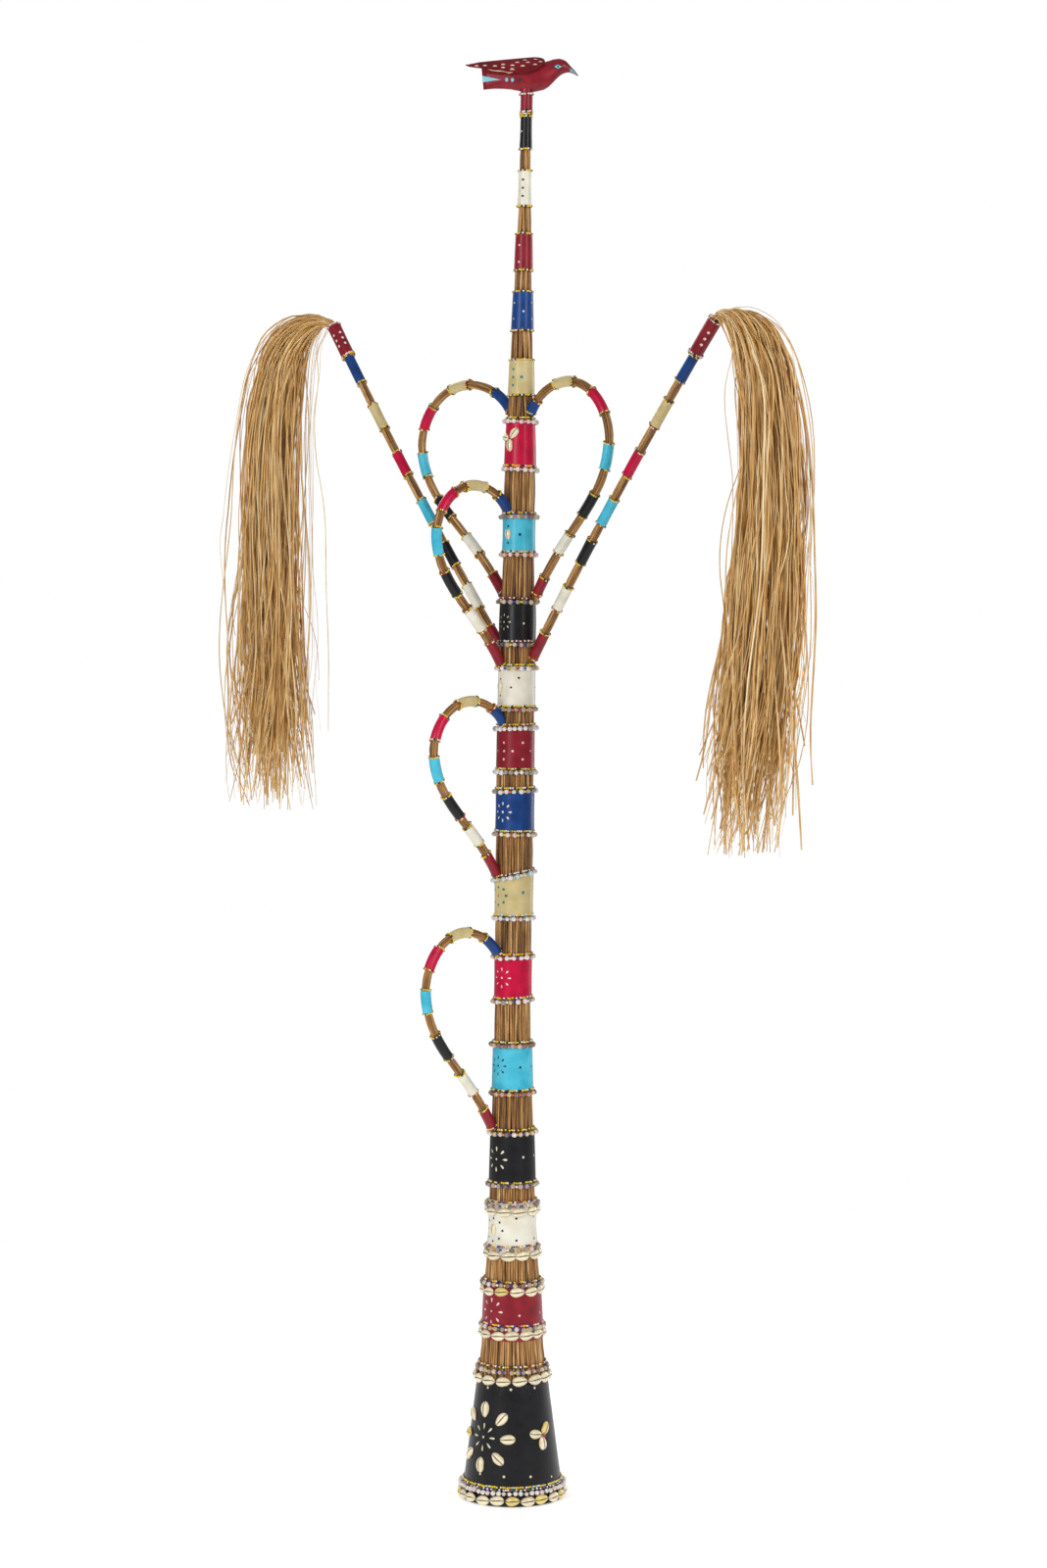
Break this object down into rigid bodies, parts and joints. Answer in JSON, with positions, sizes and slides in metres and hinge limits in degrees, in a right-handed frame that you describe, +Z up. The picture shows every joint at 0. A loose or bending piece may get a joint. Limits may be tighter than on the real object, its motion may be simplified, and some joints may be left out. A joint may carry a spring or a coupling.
{
  "type": "palm-rib ceremonial staff",
  "caption": "Tall standing staff of bundled palm ribs with dyed leather bands, bead and shell strings, looped side ribs, two straw-plumed arms and a leather bird on top.",
  "frame": {"origin": "centre of the flat round underside that the staff stands on", "axes": "+Z up along the stem, which leans slightly to +X above the middle; -Y is the front, where the three single loops point; the heart-shaped pair of loops and the two arms spread along X"},
  "size_m": [1.0068, 0.2285, 1.8377],
  "materials": {
    "beads": "satin",
    "leather_black": "satin",
    "leather_blue": "satin",
    "leather_cream": "satin",
    "leather_dark_red": "satin",
    "leather_pink": "satin",
    "leather_turquoise": "satin",
    "leather_white": "satin",
    "palm_rib": "matte",
    "straw": "matte"
  },
  "bodies": {
    "root": {"arm_left": "palm_rib", "arm_left_end_cuff": "leather_dark_red", "arm_right": "palm_rib", "arm_right_end_cuff": "leather_dark_red", "band_01_dark_red": "leather_dark_red", "band_02_white": "leather_white", "band_03_black": "leather_black", "band_04_turquoise": "leather_turquoise", "band_05_pink": "leather_pink", "band_06_cream": "leather_cream", "band_07_blue": "leather_blue", "band_08_dark_red": "leather_dark_red", "band_09_white": "leather_white", "band_10_black": "leather_black", "band_11_turquoise": "leather_turquoise", "band_12_pink": "leather_pink", "band_13_cream": "leather_cream", "band_14_blue": "leather_blue", "band_15_dark_red": "leather_dark_red", "band_16_white": "leather_white", "band_17_black": "leather_black", "bead_string_01_lower": "beads", "bead_string_01_upper": "beads", "bead_string_02_lower": "beads", "bead_string_02_upper": "beads", "bead_string_03_lower": "beads", "bead_string_03_upper": "beads", "bead_string_04_lower": "beads", "bead_string_04_upper": "beads", "bead_string_05_lower": "beads", "bead_string_05_upper": "beads", "bead_string_06_lower": "beads", "bead_string_06_upper": "beads", "bead_string_07_lower": "beads", "bead_string_07_upper": "beads", "bead_string_08_lower": "beads", "bead_string_08_upper": "beads", "bead_string_09_lower": "beads", "bead_string_09_upper": "beads", "bead_string_10_lower": "beads", "bead_string_10_upper": "beads", "bead_string_11_lower": "beads", "bead_string_11_upper": "beads", "bead_string_12_lower": "beads", "bead_string_12_upper": "beads", "bird_body": "leather_dark_red", "bird_wing_left": "leather_dark_red", "bird_wing_right": "leather_dark_red", "foot_shell_string": "beads", "foot_skirt": "leather_black", "front_loop_lower": "palm_rib", "front_loop_middle": "palm_rib", "front_loop_upper": "palm_rib", "heart_loop_left": "palm_rib", "heart_loop_right": "palm_rib", "neck_sleeve": "leather_dark_red", "palm_rib_stem": "palm_rib", "skirt_shell_string": "beads", "straw_plume_left": "straw", "straw_plume_right": "straw"}
  },
  "joints": []
}
